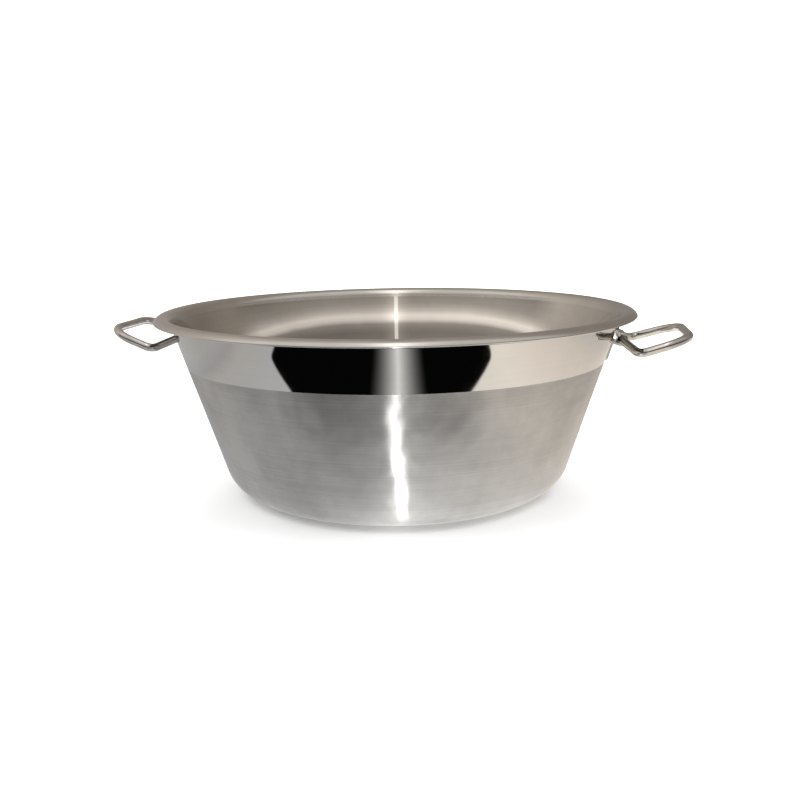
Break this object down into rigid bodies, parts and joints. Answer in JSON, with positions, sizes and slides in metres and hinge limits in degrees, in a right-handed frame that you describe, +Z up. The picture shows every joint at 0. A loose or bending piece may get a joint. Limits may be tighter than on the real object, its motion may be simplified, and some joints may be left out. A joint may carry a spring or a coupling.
{
  "type": "brew kettle",
  "caption": "Wide conical steel kettle with a rolled lip, a bright band under it and two bent rod handles hinged in saddle brackets on the wall.",
  "frame": {"origin": "centre of the flat base's underside", "axes": "+Z up, X through both handles with the right handle on +X, Y across"},
  "size_m": [0.5443, 0.4498, 0.172],
  "materials": {
    "vessel_steel": "brushed, with a mirror band below the lip",
    "bracket_steel": "satin pressed sheet",
    "handle_rod": "polished rod"
  },
  "bodies": {
    "vessel": {"kettle_body": "vessel_steel", "right_bracket": "bracket_steel", "left_bracket": "bracket_steel"},
    "right_grip": {"right_handle": "handle_rod"},
    "left_grip": {"left_handle": "handle_rod"}
  },
  "joints": [
    {"name": "right_handle_hinge", "type": "hinge", "parent": "vessel", "child": "right_grip", "pos_m": [0.21067, 0, 0.1445], "axis": [0, -1, 0], "range_deg": [-115, 66]},
    {"name": "left_handle_hinge", "type": "hinge", "parent": "vessel", "child": "left_grip", "pos_m": [-0.21067, 0, 0.1445], "axis": [0, 1, 0], "range_deg": [-119, 62]}
  ]
}
